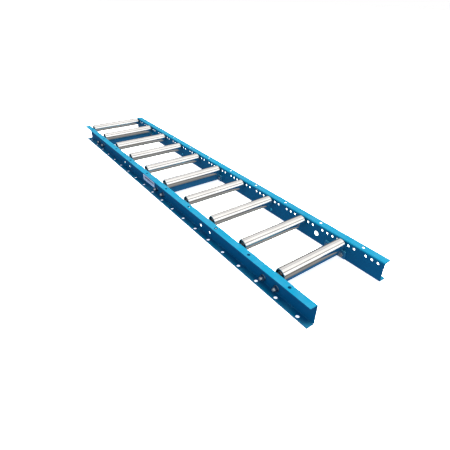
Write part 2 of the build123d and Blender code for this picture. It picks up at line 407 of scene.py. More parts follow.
# %% [markdown]
# The brake then folds the strip twice. Along the strip's width, a point is first on the lower flange, then in
# the first bend, on the web, in the second bend and on the upper flange. Each stretch's share is a clipped
# length or angle, so one formula bends the whole strip at once and the wall keeps its thickness in the bends.

# %% The folded channel
def channel(sheet, flange, height, wall, outer):
    """Fold a flat sheet into a channel: returns (along, out, up).

    out = what is left of the lower flange + outer - (outer - depth) sin(first bend) cos(second bend) + the
    upper flange so far, and up = outer - (outer - depth) cos(first bend) + the web so far + (outer - depth)
    sin(second bend), where outer is the bends' outer radius."""
    u, v, depth = sheet[0][:, 0], sheet[0][:, 1], sheet[0][:, 2]
    straight, arc, web = flange - outer, outer * np.pi / 2, height - 2 * outer
    first = np.clip((v - straight) / arc, 0, 1) * np.pi / 2
    second = np.clip((v - straight - arc - web) / arc, 0, 1) * np.pi / 2
    lower = straight - np.clip(v, 0, straight)
    upper = np.clip(v - straight - 2 * arc - web, 0, straight)
    out = lower + outer - (outer - depth) * np.sin(first) * np.cos(second) + upper
    up = outer - (outer - depth) * np.cos(first) + np.clip(v - straight - arc, 0, web)
    return u, out, up + (outer - depth) * np.sin(second)

# %% [markdown]
# The same die punches both rails: a row of hexagonal axle holes, three out of every four of them spare, pairs
# of bolt holes for the cross-members and supports, guard rail holes on top and foot holes below. One hole in
# each pitch of the axle row is left out. Only the rear rail gets the large round access hole.

# %% Where the holes are
STEPS = 6                    # lattice squares in each punch step and in each row
PUNCH_STEPS = 80             # punch steps along a rail
FOOT_ROW, LOW_ROW, AXLE_ROW, TOP_ROW = 0, 2, 4, 6
TOP_HOLE, FOOT_HOLE, ACCESS_HOLE = 11 / 64 * INCH, 13 / 64 * INCH, 5 / 16 * INCH         # radii
BOLT_HOLE = 0.0051625        # radius, with a little clearance round a 3/8 inch bolt
BOLT_ROW_HEIGHT = (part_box("near_cross_member")[0].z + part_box("near_cross_member")[1].z) / 2
WEB_STOPS = (outer_bend, 0.024, 0.042, rail_height - outer_bend)     # heights where the web's rows meet


def across_web(height):
    """Where that height on the web lies across the flat strip."""
    return rail_flange - outer_bend + bend_arc + height - outer_bend


def hole(step, across, row, rim, spread=1, rows=1):
    """One hole for punched_sheet. It owns spread punch steps about the nearest half step, and one row or more."""
    middle = step if spread == 1 else np.floor(step) + 0.5
    first = int(round((middle - spread / 2) * STEPS))
    return (first, first + spread * STEPS, row * STEPS, (row + rows) * STEPS, step * PUNCH_STEP, across, rim)


top_across = across_web(rail_height - outer_bend) + bend_arc + 9 / 16 * INCH - outer_bend
holes = [
    hole(n, across_web(axle_height), AXLE_ROW, hexagon_rim(HEX_BORE)) for n in range(1, PUNCH_STEPS) if n % 8 != 4
]
holes += [hole(n, top_across, TOP_ROW, round_rim(TOP_HOLE)) for n in range(4, PUNCH_STEPS, 8)]
foot_across = rail_flange - 5 / 8 * INCH
holes += [hole(n, foot_across, FOOT_ROW, round_rim(FOOT_HOLE)) for n in range(2, PUNCH_STEPS, 4)]
for pitches in (1, 3, 5, 7, 9):
    for side in (-1, 1):
        step = 8 * pitches + side * INCH / PUNCH_STEP
        holes.append(hole(step, across_web(BOLT_ROW_HEIGHT), LOW_ROW, round_rim(BOLT_HOLE), spread=2))
access_hole = hole(12, across_web(1.15 * INCH), LOW_ROW, round_rim(ACCESS_HOLE), rows=2)
print(len(holes), "holes in each rail, and one more in the rear rail")

# %% [markdown]
# With the strip punched and folded, the rear rail is placed with its web's smooth side towards the rollers and
# its flanges pointing out. The front rail is its mirror image.

# %% Rails
WIDTH_STOPS = [0, rail_flange - outer_bend] + [across_web(height) for height in WEB_STOPS]
WIDTH_STOPS += [WIDTH_STOPS[-1] + bend_arc, WIDTH_STOPS[-1] + bend_arc + rail_flange - outer_bend]


def rail(side, rail_holes):
    """A punched and folded rail on that side of the rollers: -1 in front, 1 at the rear."""
    u_lines = np.linspace(0, rail_length, PUNCH_STEPS * STEPS + 1)
    sheet = punched_sheet(u_lines, lines(WIDTH_STOPS, STEPS), SHEET_WALL, rail_holes)
    along, out, up = channel(sheet, rail_flange, rail_height, SHEET_WALL, outer_bend)
    return placed(sheet, near_end - along, side * (web_inner + out), up)


front_rail = new_piece("front_rail_channel", rail(-1, holes))
rear_rail = new_piece("rear_rail_channel", rail(1, holes + [access_hole]))
print("rails folded")

# %% [markdown]
# A cross-member is a short inverted channel with a plate welded across each end. It is folded by the same
# formula, only turned: its web is on top and its flanges point down. The end plates are flat punched sheets
# whose corners are rounded by a map that turns squares about each corner's centre into circles.

# %% Cross-members
PLATE_WALL = 1 / 8 * INCH
PLATE_CORNER = 0.003
MEMBER_WIDTH = 1 * INCH


def rounded_corners(u, v, length, height, corner):
    """Move points near a rectangle's corners on to circles: centre + d * max(|du|, |dv|) / |d|."""
    centre_u = np.clip(u, corner, length - corner)
    centre_v = np.clip(v, corner, height - corner)
    du, dv = u - centre_u, v - centre_v
    far, length_d = np.maximum(abs(du), abs(dv)), np.hypot(du, dv)
    share = np.where((du != 0) & (dv != 0), far / np.maximum(length_d, 1e-9), 1.0)
    return centre_u + du * share, centre_v + dv * share


def end_plate(low, high, side):
    """A plate with two bolt holes, standing on the web on that side. Its lattice has 24 by 8 squares, and each
    bolt hole owns the third of them at its end."""
    length, height = high.x - low.x, high.z - low.z
    ends = [
        (first, first + 8, 0, 8, x, height / 2, round_rim(BOLT_HOLE))
        for first, x in ((0, INCH / 2), (16, length - INCH / 2))
    ]
    sheet = punched_sheet(np.linspace(0, length, 25), np.linspace(0, height, 9), PLATE_WALL, ends)
    u, v, depth = sheet[0][:, 0], sheet[0][:, 1], sheet[0][:, 2]
    u, v = rounded_corners(u, v, length, height, PLATE_CORNER)
    return placed(sheet, low.x + u, side * (web_inner - PLATE_WALL + depth), low.z + v)


def cross_member(low, high):
    """The folded beam between the plates, and the two plates."""
    reach, height, middle = web_inner - PLATE_WALL, high.z - low.z, (low.x + high.x) / 2
    straight = height - outer_bend
    stops = [0, straight, straight + bend_arc, straight + bend_arc + MEMBER_WIDTH - 2 * outer_bend]
    stops += [stops[-1] + bend_arc, stops[-1] + bend_arc + straight]
    beam = punched_sheet(np.linspace(-reach, reach, 41), lines(stops, STEPS), SHEET_WALL, [])
    along, out, up = channel(beam, height, MEMBER_WIDTH, SHEET_WALL, outer_bend)
    beam = placed(beam, middle - MEMBER_WIDTH / 2 + up, along, high.z - out)
    return joined([beam, end_plate(low, high, -1), end_plate(low, high, 1)])


member_boxes = {place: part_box(f"{place}_cross_member") for place in ("near", "middle", "far")}
members = {
    place: new_piece(f"{place}_cross_member_weldment", cross_member(*box)) for place, box in member_boxes.items()
}
member_x = [round((low.x + high.x) / 2, 4) for low, high in member_boxes.values()]
print(len(members), "cross-members at x =", member_x)

# %% [markdown]
# The beam is held to its plates by short fillet welds up each side. A fillet is a quarter of a round bar lying
# in the corner, and the welder's steps leave ripples across it. As a surface it needs only one formula, with
# the ripples added to the radius and both ends closed by letting the radius run down to nothing.

# %% Weld beads
BEAD_LEG = 0.0026
RIPPLE = 0.00016
RIPPLE_LENGTH = 0.0011


def weld_bead(length, x, y, z, out_x, out_y):
    """A rippled fillet, upright from (x, y, z), in the corner that opens towards out_x and out_y.

    radius = leg * (1 - |2t - 1|^8)^(1/2) + ripple * |sin(pi * height / ripple length)|, t from 0 to 1 up the
    bead, swept from one leg to the other. The last two columns run back through the corner, inside the steel."""
    t = np.linspace(0, 1, 97)[:, None]
    height = length * t
    sweep = np.linspace(0, np.pi / 2, 9)
    radius = BEAD_LEG * np.sqrt(1 - abs(2 * t - 1) ** 8)
    radius = radius * (1 + RIPPLE / BEAD_LEG * abs(np.sin(np.pi * height / RIPPLE_LENGTH)) * np.sin(2 * sweep))
    inside = np.full((len(t), 1), -0.0005)
    across = np.hstack([radius * np.cos(sweep), inside]) * out_x + x
    outward = np.hstack([radius * np.sin(sweep), inside]) * out_y + y
    points = np.stack(np.broadcast_arrays(across, outward, z + height, 0.0), -1)
    ends = [np.full((1, points.shape[1], 4), points[row].mean(0)) for row in (0, -1)]
    points = np.concatenate([ends[0], points, ends[1]])
    return points.reshape(-1, 4), grid_quads(points.shape[0], points.shape[1])


def member_welds(low, high):
    """Four beads: each side of the beam, at each end plate."""
    middle, plate = (low.x + high.x) / 2, web_inner - PLATE_WALL
    length = high.z - low.z - outer_bend
    return joined([
        weld_bead(length, middle + across * MEMBER_WIDTH / 2, side * plate, low.z, across, -side)
        for across in (-1, 1) for side in (-1, 1)
    ])


welds = {
    place: new_piece(f"{place}_cross_member_welds", member_welds(*box)) for place, box in member_boxes.items()
}
print("welds", sum(len(piece.data.polygons) for piece in welds.values()), "faces")

# %% [markdown]
# Bolts, nuts, axles, tubes and bearing rings are all turned shapes: a profile goes round an axis. Where the
# real thing has flats, the radius at each angle is the smaller of the profile's and the hexagon's, and that is
# just how a bar's chamfer meets its flats in curved lines. One function covers them all.

# %% Turned shapes
AROUND = 48


def turned(along, radius, edge, columns=AROUND, closed=False):
    """Points (r cos a, along, r sin a, edge), where r may differ at each row and angle. A closed profile is a
    ring such as a nut or tube, and an open one starts and ends on the axis."""
    angle = 2 * np.pi * np.arange(columns) / columns
    along, radius, edge = (np.asarray(value, float) for value in (along, radius, edge))
    radius = radius if radius.ndim == 2 else radius[:, None]
    points = np.broadcast_arrays(radius * np.cos(angle), along[:, None], radius * np.sin(angle), edge[:, None])
    return np.stack(points, -1).reshape(-1, 4), grid_quads(len(along), columns, close_rows=closed)


def moved(shell, x, y, z, side=1, spin=0.0):
    """The shell turned by spin about its own axis, pointed towards side * Y, and moved to (x, y, z)."""
    px, py, pz = shell[0][:, 0], shell[0][:, 1], shell[0][:, 2]
    across = px * np.cos(spin) - pz * np.sin(spin)
    up = px * np.sin(spin) + pz * np.cos(spin)
    return placed(shell, x + across, y + side * py, z + up)


def profile(rows, columns=AROUND):
    """rows holds (along, radius, flats, edge). Gives along, the radius at each angle, and edge. The radius is
    that of the row's circle, or of a hexagon with those flats where it is smaller. Flats of 0 leave a circle."""
    along, radius, flats, edge = np.array(rows, float).T
    flat = hexagon_rim(1.0)(2 * np.pi * np.arange(columns) / columns)
    return along, np.minimum(radius[:, None], np.where(flats > 0, flats, 1.0)[:, None] * flat), edge

# %% [markdown]
# A 3/8 inch bolt holds each corner of a cross-member's plates. Its head is inside, its flange nut is outside, and
# two or three turns of thread stand out of the nut. The thread is a triangle wave in the radius that climbs one
# pitch in each turn. Fitters never line up their nuts, so each fastener is turned by its own golden-ratio angle.

# %% Bolts and nuts
BOLT_RADIUS = 3 / 16 * INCH
THREAD = INCH / 16
THREAD_DEPTH = 0.00055
BOLT_LENGTH = 0.75 * INCH
THREAD_ROWS = 73
TIP_TAPER = 0.0008
HEAD, HEAD_FACE = 0.006, 0.0068          # the head's height, and the radius of its flat face
FLATS = 9 / 16 * INCH
CORNER = FLATS / np.sqrt(3)
NUT_HEIGHT = 0.0083
NUT_FLANGE = 0.0094
CROWN_DROP, CROWN_CUT = 0.0005, 0.0009   # how far a crown's chamfer goes down and in


def bolt():
    """Along +Y from the underside of the head. Head: hexagon cut by a cone that opens from the crown down.
    Thread: radius = bolt radius - depth * (1 - |2 frac(along / pitch - angle / 2 pi) - 1|), less at the tip."""
    crown = [(-HEAD + CROWN_DROP * t, CORNER - CROWN_CUT * (1 - t), FLATS, 1) for t in np.linspace(0, 1, 5)]
    face = [(-HEAD, 0, 0, 0), (-HEAD, HEAD_FACE, 0, 0)]
    head = profile([*face, *crown, (-EDGE, CORNER, FLATS, 0), (0, CORNER - EDGE, FLATS, 1)])
    along = np.linspace(0, BOLT_LENGTH, THREAD_ROWS)
    turn = along[:, None] / THREAD - np.arange(AROUND) / AROUND
    thread = BOLT_RADIUS - THREAD_DEPTH * (1 - abs(2 * (turn % 1) - 1))
    tip = BOLT_RADIUS - np.clip(along - (BOLT_LENGTH - TIP_TAPER), 0, None)[:, None]
    shank = along, np.minimum(thread, tip), np.zeros(THREAD_ROWS)
    end = profile([(BOLT_LENGTH, 0, 0, 0)])
    return turned(*(np.concatenate(parts) for parts in zip(head, shank, end)))


def flange_nut():
    """Along +Y from its seat: flange, cone, hexagon cut by the crown's chamfer, and the bore inside it."""
    bore = BOLT_RADIUS + 0.00005
    cone = [(0.0008 + 0.0008 * t, NUT_FLANGE - 0.0008 * t, 0, 0) for t in np.linspace(0, 1, 4)]
    crown = [(NUT_HEIGHT - CROWN_DROP * (1 - t), CORNER - CROWN_CUT * t, FLATS, 1) for t in np.linspace(0, 1, 5)]
    rows = [(0, bore, 0, 0), (0, NUT_FLANGE - EDGE, 0, 1), (EDGE, NUT_FLANGE, 0, 1), *cone]
    rows += [(0.0017, CORNER, FLATS, 0), *crown]
    rows += [(NUT_HEIGHT, bore + 0.0006, 0, 0), (NUT_HEIGHT - 0.0005, bore, 0, 0)]
    return turned(*profile(rows), closed=True)


GOLDEN = 0.6180339887
bolt_places = [
    (x, side)
    for low, high in member_boxes.values()
    for x in (low.x + INCH / 2, high.x - INCH / 2)
    for side in (-1, 1)
]
bolts, nuts = [], []
for number, (x, side) in enumerate(bolt_places):
    spin = 2 * np.pi * GOLDEN * number
    bolts.append(moved(bolt(), x, side * (web_inner - PLATE_WALL), BOLT_ROW_HEIGHT, side, spin))
    nuts.append(moved(flange_nut(), x, side * (web_inner + SHEET_WALL), BOLT_ROW_HEIGHT, side, 1.7 * spin))
bolt_set = new_piece("cross_member_bolt_set", joined(bolts))
nut_set = new_piece("cross_member_nut_set", joined(nuts))
print(len(bolts), "bolts with", len(nuts), "flange nuts")

# %% [markdown]
# Each roller is a thin steel tube. After the bearings are pressed in, the tube's ends are swaged: rolled inwards
# to a round shoulder and a short lip that traps the bearing cup. The wall is a closed profile, out along the
# outside, over the shoulder, and back along the inside.

# %% Roller tubes
SWAGE = 0.0024               # outer radius of the swaged shoulder
SWAGE_LIP = 0.001
TUBE_COLUMNS = 72


def tube_profile():
    """(along, radius, 0, edge) round the wall's section: one half, then its mirror image run backwards."""
    shoulder_y, shoulder_r = tube_end - SWAGE, tube_radius - SWAGE
    sweep = np.linspace(0, np.pi / 2, 9)
    outside = [(y, tube_radius, 0, 0) for y in np.linspace(0, shoulder_y, 6)[:-1]]
    over = [(shoulder_y + SWAGE * np.sin(a), shoulder_r + SWAGE * np.cos(a), 0, 0.2) for a in sweep]
    lip_r, lip_back = shoulder_r - SWAGE_LIP, tube_end - TUBE_WALL
    lip = [(tube_end, lip_r + EDGE, 0, 1), (tube_end - EDGE, lip_r, 0, 1), (lip_back, lip_r, 0, 0)]
    inner = SWAGE - TUBE_WALL
    under = [(shoulder_y + inner * np.cos(a), shoulder_r + inner * np.sin(a), 0, 0) for a in sweep]
    inside = [(0, tube_radius - TUBE_WALL, 0, 0)]
    half = outside + over + lip + under + inside
    return half + [(-y, r, flats, edge) for y, r, flats, edge in half[-1:0:-1] if y > 0]


def roller_tube(x):
    """The tube of the roller at x."""
    return moved(turned(*profile(tube_profile(), TUBE_COLUMNS), TUBE_COLUMNS, closed=True), x, 0, axle_height)


def per_roller(kind, shell_at):
    """A piece of that kind for each roller, where shell_at gives its shell from the roller's place x."""
    return [new_piece(f"roller_{roller}_{kind}", shell_at(x)) for roller, x in zip(rollers, roller_x)]


tubes = per_roller("swaged_tube", roller_tube)
print(len(tubes), "tubes, each", len(tubes[0].data.polygons), "faces")

# %% [markdown]
# A bearing is a cup pressed into the tube, a cone that stays still on the axle, and a dozen balls between their
# grooves. The hub of the cone reaches out towards the rail, so the tube never rubs on it. Almost nothing shows
# past the cup's dished front, but the grooves are real surfaces, because a part that is taken apart shows them.

# %% Bearing cups and cones
BALLS = 12
BALL_RADIUS = 3 / 32 * INCH
BALL_CIRCLE = 0.0103
BALL_PLANE = tube_end - TUBE_WALL - 0.0039
GROOVE = BALL_RADIUS + 0.00015
LAND = 0.001                 # from the ball circle to each race's land beside its groove
GROOVE_SWEEP = np.arccos(LAND / GROOVE) * np.linspace(-1, 1, 9)
CONE_HALF = 0.0032           # half the inner race's width


def cup_profile():
    """The outer race: dished front, round corner against the swage, plain outside, open back and ball groove."""
    front, outer, corner = tube_end - TUBE_WALL, tube_radius - TUBE_WALL, SWAGE - TUBE_WALL
    lip, race, back = BALL_CIRCLE - LAND + 0.0006, BALL_CIRCLE + LAND, front - 0.0076
    sweep = np.linspace(0, np.pi / 2, 6)
    dish = [(front - EDGE, lip, 0, 1), (front, lip + EDGE, 0, 1), (front, outer - corner - 0.001, 0, 0)]
    shoulder = [(front - corner * (1 - np.cos(a)), outer - corner * (1 - np.sin(a)), 0, 0) for a in sweep]
    behind = [(back + EDGE, outer, 0, 0), (back, outer - EDGE, 0, 0)]
    behind += [(back, race + EDGE, 0, 0), (back + EDGE, race, 0, 0)]
    groove = [(BALL_PLANE + GROOVE * np.sin(a), BALL_CIRCLE + GROOVE * np.cos(a), 0, 0) for a in GROOVE_SWEEP]
    return dish + shoulder + behind + groove + [(front - 0.001, race, 0, 0), (front - 0.001, lip, 0, 0)]


def cone_profile():
    """The inner race: hexagonal bore, plain inner face, ball groove, and a slender hub towards the rail."""
    inner_face, race_front = BALL_PLANE - CONE_HALF, BALL_PLANE + CONE_HALF
    hub, hub_end, race, bore = 0.0056, web_inner - 0.0008, BALL_CIRCLE - LAND, INCH / 4 + 0.00016
    groove = [(BALL_PLANE + GROOVE * np.sin(a), BALL_CIRCLE - GROOVE * np.cos(a), 0, 0) for a in GROOVE_SWEEP]
    rows = [(inner_face, 1, bore, 0), (inner_face, race - EDGE, 0, 1), (inner_face + EDGE, race, 0, 1), *groove]
    rows += [(race_front - EDGE, race, 0, 1), (race_front, race - EDGE, 0, 1), (race_front, hub + 0.0005, 0, 0)]
    rows += [(race_front + 0.0005, hub, 0, 0), (hub_end - EDGE, hub, 0, 1), (hub_end, hub - EDGE, 0, 1)]
    return rows + [(hub_end, 1, bore + EDGE, 1), (hub_end - EDGE, 1, bore, 1)]


def both_ends(rows, x):
    """The same ring at the rear end and, mirrored, at the front end of the roller at x."""
    shell = turned(*profile(rows), closed=True)
    return joined([moved(shell, x, 0, axle_height, side) for side in (-1, 1)])


cups = per_roller("cup_pair", lambda x: both_ends(cup_profile(), x))
cones = new_piece("bearing_cone_set", joined([both_ends(cone_profile(), x) for x in roller_x]))
print(len(cups), "pairs of cups, and cones with", len(cones.data.polygons), "faces")

# %% [markdown]
# The balls are repeated hundreds of times and hidden in their grooves, so each is a small globe of a few dozen
# faces. Smooth shading makes it round. All 24 of a roller come from one sum: globe plus ball centre.

# %% Bearing balls
BALL_ROWS, BALL_COLUMNS = 6, 9


def ball_set(x):
    """Each point is centre + radius * (sin p cos q, cos p, sin p sin q), for every ball at once."""
    p = np.linspace(0, np.pi, BALL_ROWS)[:, None]
    q = 2 * np.pi * np.arange(BALL_COLUMNS) / BALL_COLUMNS
    sphere = np.broadcast_arrays(np.sin(p) * np.cos(q), np.cos(p), np.sin(p) * np.sin(q))
    globe = BALL_RADIUS * np.stack(sphere, -1)
    turn = 2 * np.pi * np.arange(BALLS) / BALLS
    centre = np.stack([x + BALL_CIRCLE * np.cos(turn), 0 * turn, axle_height + BALL_CIRCLE * np.sin(turn)], -1)
    centres = np.concatenate([centre + (0, side * BALL_PLANE, 0) for side in (-1, 1)])
    points = centres[:, None, :] + globe.reshape(1, -1, 3)
    starts = BALL_ROWS * BALL_COLUMNS * np.arange(len(centres))
    quads = grid_quads(BALL_ROWS, BALL_COLUMNS)[None] + starts[:, None, None]
    return np.insert(points.reshape(-1, 3), 3, 0.0, axis=1), quads.reshape(-1, 4)


balls = per_roller("ball_sets", ball_set)
print(2 * BALLS, "balls in each roller")

# %% [markdown]
# The axle is a hexagonal bar, so that it can't turn in the rail's hexagonal holes. It carries two collars. One
# stops it behind the front cone, and the other is a seat for the spring. Pushing the axle against its spring
# clears the front rail's hole, which is how a roller is dropped in and taken out.

# %% Axles
HEX = INCH / 4
HEX_CORNER = HEX / np.sqrt(3)
AXLE_CHAMFER = 0.0006
COLLAR, COLLAR_LENGTH = 0.0059, 0.0016
SPRING_LENGTH = 0.036
CONE_FACE = BALL_PLANE - CONE_HALF


def collar(middle):
    """Rows up on to a collar and down again."""
    low, high = middle - COLLAR_LENGTH / 2, middle + COLLAR_LENGTH / 2
    rows = [(low, 1, HEX, 0), (low, COLLAR - EDGE, 0, 1), (low + EDGE, COLLAR, 0, 1)]
    return rows + [(high - EDGE, COLLAR, 0, 1), (high, COLLAR - EDGE, 0, 1), (high, 1, HEX, 0)]


def axle(x):
    """The axle of the roller at x: its chamfered front end, both collars, and the same end at the rear."""
    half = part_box("roller_01_axle")[1].y
    end = [(half, 0, 0, 0), (half, HEX_CORNER - 2 * AXLE_CHAMFER, HEX - 2 * AXLE_CHAMFER, 1)]
    end += [(half - AXLE_CHAMFER, 1, HEX, 1), (half - 4 * AXLE_CHAMFER, 1, HEX, 0)]
    start = [(-y, r, flats, edge) for y, r, flats, edge in end]
    rows = start + collar(-CONE_FACE + 0.0001 + COLLAR_LENGTH / 2)
    rows += collar(CONE_FACE - SPRING_LENGTH - COLLAR_LENGTH / 2) + end[::-1]
    return moved(turned(*profile(rows)), x, 0, axle_height)


axles = per_roller("hex_axle", axle)
print(len(axles), "axles")

# %% [markdown]
# The spring is a round wire coiled round the axle, between its seat and the rear cone. A real compression spring
# has closed ends: its first and last turns lie flat against their neighbours. So the rise in each turn isn't
# constant, and is read from four points. A pushed-in axle squeezes the real spring towards the cone, but this one
# is drawn at its rest length.

# %% Springs
WIRE = 0.00045
COIL = HEX_CORNER + 0.0008 + WIRE
TURNS, TURN_STEPS = 11, 24
WIRE_SIDES = 8
SPRING_GAP = 0.00005


def spring(x):
    """Centre line: (r cos a, y(a), r sin a), and round it a circle of the wire's radius, across the coil and
    along the axle: centre + wire * (cos b outwards, sin b along). The ends shrink to a point."""
    start, end = CONE_FACE - SPRING_LENGTH + SPRING_GAP + WIRE, CONE_FACE - SPRING_GAP - WIRE
    turn = np.linspace(0, TURNS, TURN_STEPS * TURNS + 1)
    rise = np.interp(turn, [0, 1, TURNS - 1, TURNS], [start, start + 2 * WIRE, end - 2 * WIRE, end])
    turn, rise = (np.concatenate([v[:1], v, v[-1:]])[:, None] for v in (turn, rise))
    wire = np.full(len(turn), WIRE)
    wire[[0, -1]] = 0
    section = 2 * np.pi * np.arange(WIRE_SIDES) / WIRE_SIDES
    across, around = wire[:, None] * np.cos(section), wire[:, None] * np.sin(section)
    angle = 2 * np.pi * turn
    points = [x + (COIL + across) * np.cos(angle), rise + around, axle_height + (COIL + across) * np.sin(angle)]
    points = np.stack(np.broadcast_arrays(*points, 0.0), -1)
    return points.reshape(-1, 4), grid_quads(len(turn), WIRE_SIDES)


springs = per_roller("coil_spring", spring)
print(len(springs), "springs of", TURNS, "turns")

# %% [markdown]
# The maker's label is a thin vinyl sticker on the front rail, with rounded corners so that it doesn't peel.

# %% Label
LABEL_CORNER = 0.0025
label_low, label_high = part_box("rail_label")


def label():
    """A flat sheet with rounded corners, standing on the front web with its face to the front."""
    length, height = label_high.x - label_low.x, label_high.z - label_low.z
    wall = label_high.y - label_low.y
    sheet = punched_sheet(np.linspace(0, length, 41), np.linspace(0, height, 17), wall, [], chamfer=0.00005)
    u, v = rounded_corners(sheet[0][:, 0], sheet[0][:, 1], length, height, LABEL_CORNER)
    return placed(sheet, label_low.x + u, label_high.y - sheet[0][:, 2], label_low.z + v)


label_sticker = new_piece("rail_label_sticker", label())
print(f"label {(label_high.x - label_low.x) * 1000:.0f} mm long")

# %% [markdown]
# Several finishes share the same small effects, so each effect is a shader group with named inputs, built once
# and placed in each material with its own values. All of them work in the object's own coordinates, in metres,
# so a size given to a group is a real size.

# %% Helpers for shader groups
def new_group(name, inputs, outputs):
    """An empty group: inputs are (label, default) numbers and outputs are labels of numbers."""
    group = bpy.data.node_groups.new(name, "ShaderNodeTree")
    for label, default in inputs:
        socket = group.interface.new_socket(label, in_out="INPUT", socket_type="NodeSocketFloat")
        socket.default_value = default
    for label in outputs:
        group.interface.new_socket(label, in_out="OUTPUT", socket_type="NodeSocketFloat")
    return group, group.nodes.new("NodeGroupInput").outputs, group.nodes.new("NodeGroupOutput").inputs


def place_group(tree, group, **values):
    """Place a group in a material with its own values, and give its outputs."""
    node = add_node(tree, "ShaderNodeGroup", node_tree=group)
    for label, value in values.items():
        feed(tree, node.inputs[label.replace("_", " ")], value)
    return node.outputs


def noise(tree, size, detail=2.0, stretch=None):
    """Noise with features of about that size in metres. stretch gives how much longer they are along X, Y, Z."""
    point = add_node(tree, "ShaderNodeTexCoord").outputs["Object"]
    if stretch:
        mapping = add_node(tree, "ShaderNodeMapping", vector_type="POINT")
        mapping.inputs["Scale"].default_value = [1 / share for share in stretch]
        feed(tree, mapping.inputs["Vector"], point)
        point = mapping.outputs["Vector"]
    node = add_node(tree, "ShaderNodeTexNoise")
    feed(tree, node.inputs["Vector"], point)
    feed(tree, node.inputs["Scale"], sum_of(tree, "DIVIDE", 1.0, size))
    node.inputs["Detail"].default_value = detail
    return node.outputs[0]


def between(tree, value, low, high):
    """0 below low, 1 above high, and a smooth step between."""
    node = add_node(tree, "ShaderNodeMapRange", interpolation_type="SMOOTHSTEP")
    for label, number in (("Value", value), ("From Min", low), ("From Max", high)):
        feed(tree, node.inputs[label], number)
    return node.outputs["Result"]

# %% [markdown]
# Powder coat is sprayed dry and melted, and it never flows quite flat: it keeps the skin of an orange, with
# dimples a millimetre or two apart, and its tone drifts a little where the coat is thicker. The coat pulls thin
# on every edge, and knocks chip it there; the paints put a pale painted highlight in that edge mask, for the light
# that edges catch. Dust settles only on what faces up.

# %% Effects on paint
skin, at, out = new_group(
    "powder_coat_skin", [("Dimple Size", 0.0016), ("Cloud Size", 0.08)], ["Height", "Cloud"]
)
feed(skin, out["Height"], noise(skin, at["Dimple Size"], detail=1.0))
feed(skin, out["Cloud"], between(skin, noise(skin, at["Cloud Size"], detail=4.0), 0.3, 0.7))

wear, at, out = new_group("worn_edge", [("Amount", 0.5), ("Chip Size", 0.003)], ["Mask"])
on_edge = add_node(wear, "ShaderNodeAttribute", attribute_name="edge").outputs["Fac"]
chips = noise(wear, at["Chip Size"], detail=3.0)
reach = sum_of(wear, "MULTIPLY_ADD", on_edge, at["Amount"], chips)
feed(wear, out["Mask"], sum_of(wear, "MULTIPLY", between(wear, reach, 0.82, 0.98), on_edge))

dust, at, out = new_group("settled_dust", [("Amount", 0.2), ("Patch Size", 0.03)], ["Mask"])
facing = add_node(dust, "ShaderNodeSeparateXYZ")
feed(dust, facing.inputs[0], add_node(dust, "ShaderNodeNewGeometry").outputs["Normal"])
upward = between(dust, facing.outputs["Z"], 0.6, 1.0)
patches = between(dust, noise(dust, at["Patch Size"], detail=6.0), 0.35, 0.75)
feed(dust, out["Mask"], sum_of(dust, "MULTIPLY", sum_of(dust, "MULTIPLY", upward, patches), at["Amount"]))
print("groups:", skin.name, wear.name, dust.name)

# %% [markdown]
# Drawn tube and bar carry fine straight lines from the die, all along their length, which is Y here. Zinc plate
# adds a soft bloom, paler and greyer in patches a few centimetres wide, and rougher where it is handled.

# %% Effects on metal
drawn, at, out = new_group("drawn_lines", [("Line Width", 0.0006)], ["Lines"])
scratches = noise(drawn, at["Line Width"], detail=3.0, stretch=(1, 260, 1))
feed(drawn, out["Lines"], between(drawn, scratches, 0.3, 0.7))

bloom, at, out = new_group("zinc_bloom", [("Patch Size", 0.03), ("Speck Size", 0.0008)], ["Tone", "Specks"])
feed(bloom, out["Tone"], between(bloom, noise(bloom, at["Patch Size"], detail=5.0), 0.3, 0.7))
feed(bloom, out["Specks"], between(bloom, noise(bloom, at["Speck Size"], detail=2.0), 0.55, 0.8))
print("groups:", drawn.name, bloom.name)

# %% [markdown]
# A material starts from one shader. Colours are mixed by masks, and roughness by ranges, so that every finish
# below is a few lines: what the colours are, where each shows, and how rough it is.

# %% Helpers for finishes
def new_finish(name, **uniform):
    """A material with a Principled shader, and the values that are the same all over it."""
    finish = bpy.data.materials.new(name)
    finish.use_nodes = True
    shader = finish.node_tree.nodes["Principled BSDF"]
    for label, value in uniform.items():
        shader.inputs[label.replace("_", " ")].default_value = value
    return finish, finish.node_tree, shader.inputs


def mixed(tree, mask, base, over):
    """Colour base where the mask is 0 and colour over where it is 1."""
    node = add_node(tree, "ShaderNodeMix", data_type="RGBA")
    for label, value in (("Factor_Float", mask), ("A_Color", base), ("B_Color", over)):
        socket = next(s for s in node.inputs if s.identifier == label)
        feed(tree, socket, (*value, 1.0) if isinstance(value, tuple) else value)
    return next(s for s in node.outputs if s.identifier == "Result_Color")


def share_between(tree, mask, low, high):
    """A number that goes from low to high as the mask goes from 0 to 1."""
    return sum_of(tree, "MULTIPLY_ADD", mask, high - low, low)


def bumped(tree, height, distance, strength=1.0):
    """A normal from a height between 0 and 1 that stands for that distance in metres."""
    bump = add_node(tree, "ShaderNodeBump")
    bump.inputs["Strength"].default_value = strength
    bump.inputs["Distance"].default_value = distance
    feed(tree, bump.inputs["Height"], height)
    return bump.outputs["Normal"]

# %% [markdown]
# Both paints are the same kind of coat. The rails are a clear azure, and the cross-members a paler and greyer
# blue, made paler as painted light against the shade that the tubes above cast on them. The pale tone on the
# rails' edges is a painted highlight for the light that edges catch, in chipped patches; these are new enough not
# to rust.

# %% Blue paints
# The pale cyan on edges is a painted highlight for the light that edges catch, not bare or chalky paint.
PAINTED_EDGE_HIGHLIGHT = (0.06, 0.24, 0.34)
DUST = (0.27, 0.29, 0.30)
PAINT_SHEEN = 0.10
SKIN_DEPTH = 0.00004         # from the top of a dimple to its bottom


